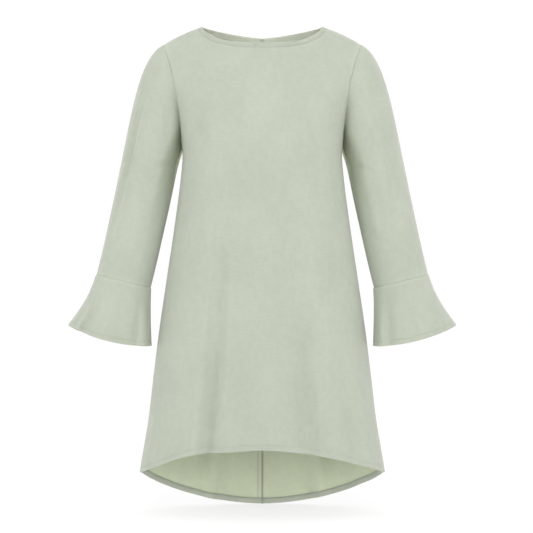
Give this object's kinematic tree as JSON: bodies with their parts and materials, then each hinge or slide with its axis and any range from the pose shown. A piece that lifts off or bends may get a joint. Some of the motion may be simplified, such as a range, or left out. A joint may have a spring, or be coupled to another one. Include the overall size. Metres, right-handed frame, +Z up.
{
  "type": "long sleeved shift dress with bell cuffs",
  "caption": "Knee-length shift dress, long sleeves with flared cuffs, wide bound neck and a hem that dips at the back, hollow as when worn.",
  "frame": {"origin": "midway between the two shoulder seams, at the height of their middle, where the wearer's shoulders carry the dress", "axes": "+X towards the sleeve on the right of someone facing the front, +Y from the front to the back, +Z up"},
  "size_m": [0.734, 0.2766, 0.9221],
  "materials": {
    "dress_cloth": "soft brushed stretch cloth, matt with a faint nap, sage green",
    "binding_cloth": "the same cloth folded as a narrow neck binding with one row of stitching",
    "wrong_side_cloth": "the wrong side of the same cloth, a little darker and flatter"
  },
  "bodies": {
    "root": {"front_body": "dress_cloth", "back_left": "dress_cloth", "back_right": "dress_cloth", "neck_binding": "binding_cloth", "sleeve_left": "dress_cloth", "sleeve_right": "dress_cloth", "cuff_left": "dress_cloth", "cuff_right": "dress_cloth", "back_seam_allowance": "wrong_side_cloth"}
  },
  "joints": []
}
